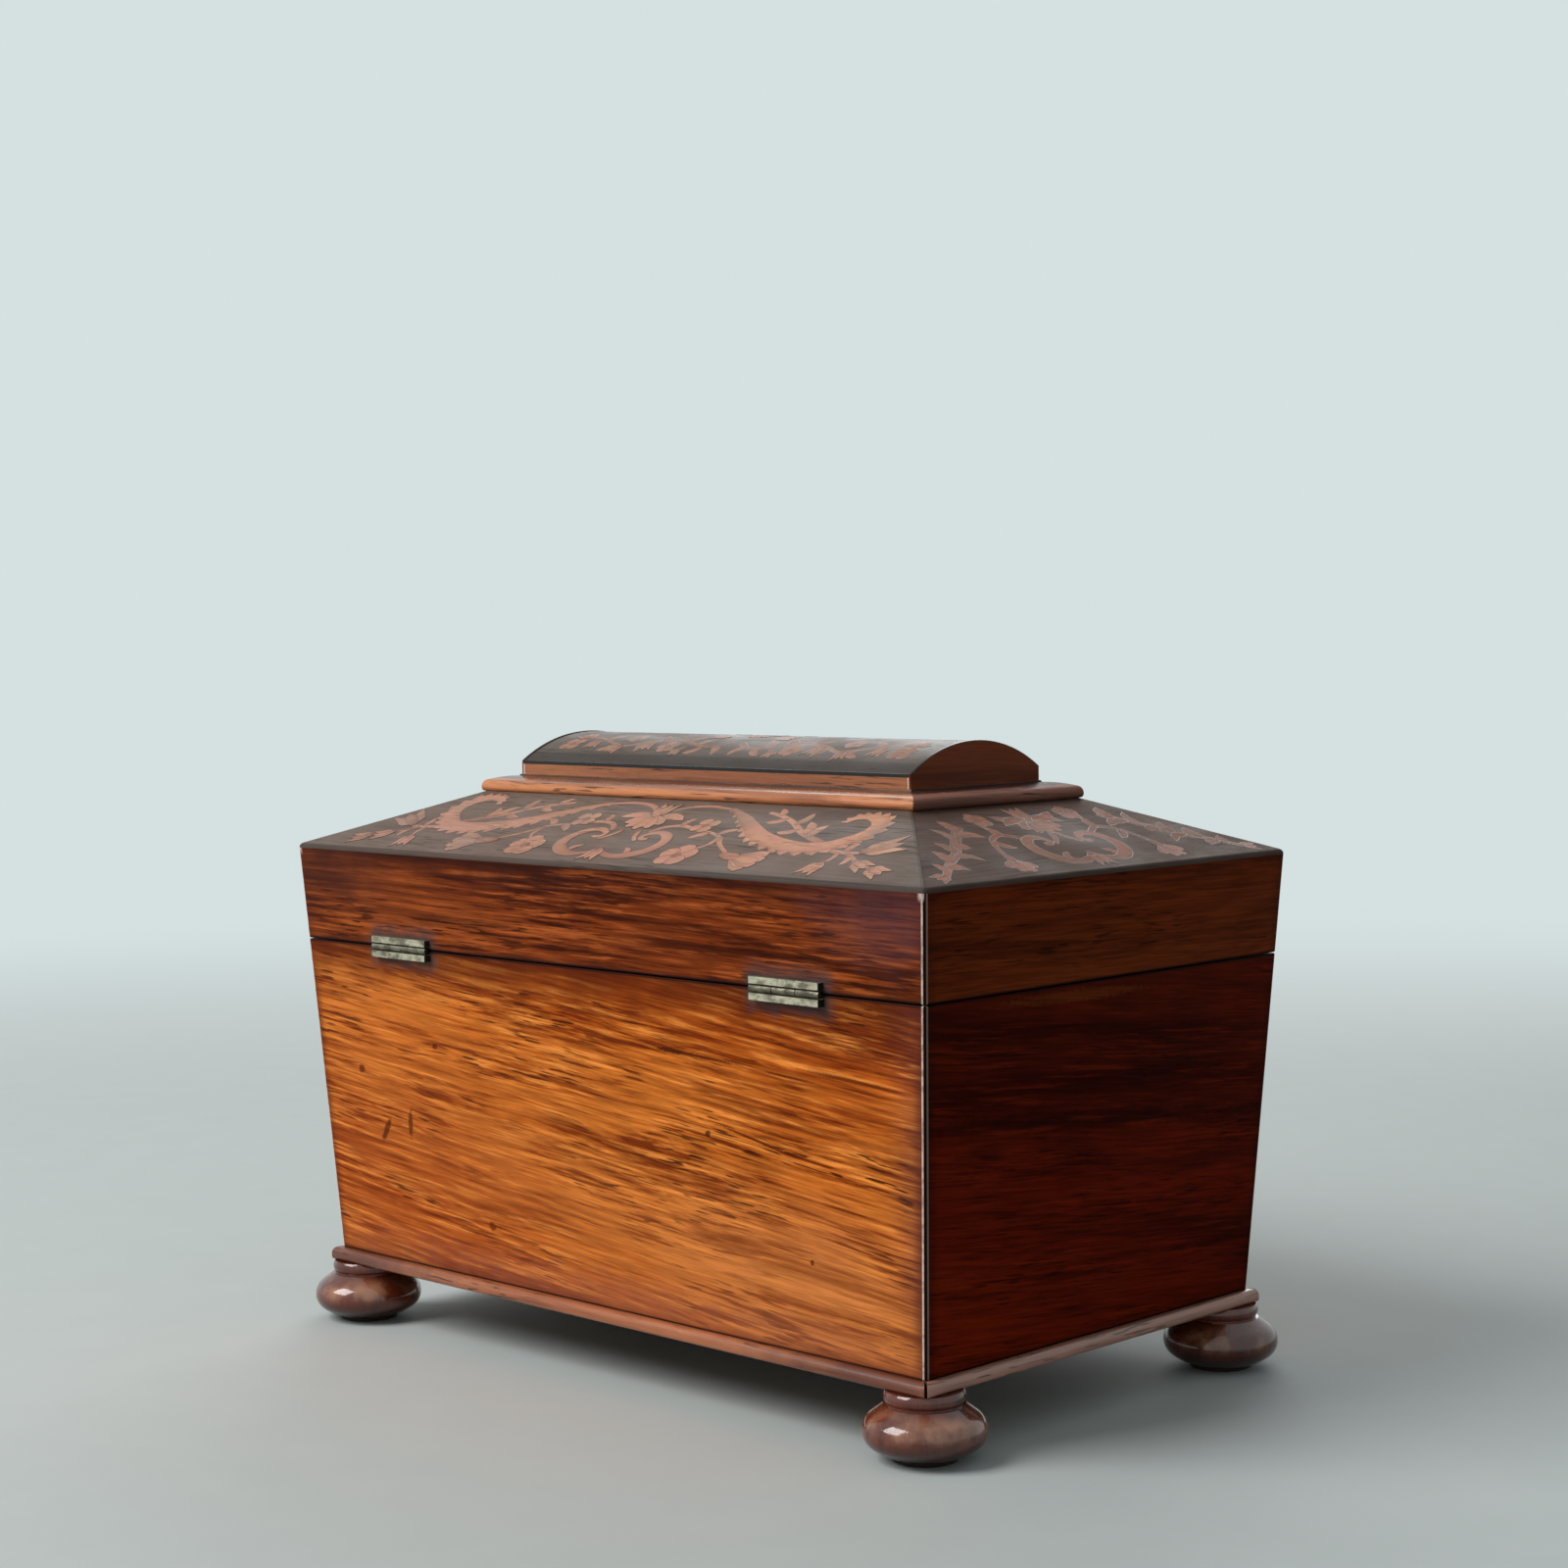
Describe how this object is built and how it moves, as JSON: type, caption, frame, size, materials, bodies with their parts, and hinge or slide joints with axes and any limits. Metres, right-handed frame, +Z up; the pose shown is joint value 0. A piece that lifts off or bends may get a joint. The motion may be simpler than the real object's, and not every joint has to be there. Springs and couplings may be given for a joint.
{
  "type": "marquetry box",
  "caption": "Sarcophagus-shaped rosewood box on bun feet, with a hinged hipped lid of scrolling floral marquetry under a small domed top, stop hinges and a sliding-bolt lock.",
  "frame": {"origin": "centre of the box on the table, level with the undersides of the feet", "axes": "+X along the length, +Y towards the back with the hinges, +Z up"},
  "size_m": [0.3094, 0.1856, 0.211],
  "materials": {
    "case_rosewood": "wax-polished rosewood, streaked, darker at the edges",
    "lid_rosewood": "dark wax-polished rosewood",
    "moulding_rosewood": "dark rosewood strip, worn at the nose",
    "turned_rosewood": "turned rosewood with a gloss polish",
    "marquetry_veneer": "grey-brown veneer with pinkish tan inlaid scrolls",
    "tan_veneer": "orange-tan polished veneer",
    "end_veneer": "dark red-brown veneer",
    "ebony_line": "ebonised stringing",
    "carcase_pine": "old pine",
    "lining_wood": "plain cedar lining",
    "hinge_brass": "aged olive brass",
    "lock_brass": "old brass",
    "lock_steel": "filed steel"
  },
  "bodies": {
    "case": {"back_wall": "case_rosewood", "front_wall": "case_rosewood", "left_wall": "case_rosewood", "right_wall": "case_rosewood", "base_board": "carcase_pine", "base_strip_back": "moulding_rosewood", "base_strip_front": "moulding_rosewood", "base_strip_left": "moulding_rosewood", "base_strip_right": "moulding_rosewood", "foot_back_left": "turned_rosewood", "foot_back_right": "turned_rosewood", "foot_front_left": "turned_rosewood", "foot_front_right": "turned_rosewood", "floor_lining": "lining_wood", "back_lining": "lining_wood", "front_lining": "lining_wood", "left_lining": "lining_wood", "right_lining": "lining_wood", "partition_left": "lining_wood", "partition_right": "lining_wood", "hinge_leaf_case_left": "hinge_brass", "hinge_leaf_case_right": "hinge_brass", "hinge_pin_left": "hinge_brass", "hinge_pin_right": "hinge_brass", "lock_case": "lock_steel", "lock_plate": "lock_brass", "escutcheon": "lock_brass", "case_screws": "lock_brass"},
    "lid": {"lid_rail_back": "lid_rosewood", "lid_rail_front": "lid_rosewood", "lid_rail_left": "lid_rosewood", "lid_rail_right": "lid_rosewood", "lid_ceiling": "lining_wood", "slope_board_back": "carcase_pine", "slope_board_front": "carcase_pine", "slope_board_left": "carcase_pine", "slope_board_right": "carcase_pine", "slope_veneer_back": "marquetry_veneer", "slope_veneer_front": "marquetry_veneer", "slope_veneer_left": "marquetry_veneer", "slope_veneer_right": "marquetry_veneer", "crown_board": "carcase_pine", "nosing_back": "tan_veneer", "nosing_front": "tan_veneer", "nosing_left": "tan_veneer", "nosing_right": "tan_veneer", "dome_core": "carcase_pine", "dome_veneer": "marquetry_veneer", "dome_end_left": "end_veneer", "dome_end_right": "end_veneer", "plinth_band_back": "tan_veneer", "plinth_band_front": "tan_veneer", "dark_line_back": "ebony_line", "dark_line_front": "ebony_line", "hinge_leaf_lid_left": "hinge_brass", "hinge_leaf_lid_right": "hinge_brass", "link_plate": "lock_brass", "lid_screws": "lock_brass"},
    "lock_bolt": {"lock_bolt": "lock_steel"}
  },
  "joints": [
    {"name": "lid_hinge", "type": "hinge", "parent": "case", "child": "lid", "pos_m": [0, 0.08849, 0.1382], "axis": [-1, 0, 0], "range_deg": [0, 95]},
    {"name": "lock_throw", "type": "slide", "parent": "case", "child": "lock_bolt", "axis": [1, 0, 0], "range_m": [0, 0.0044]}
  ]
}
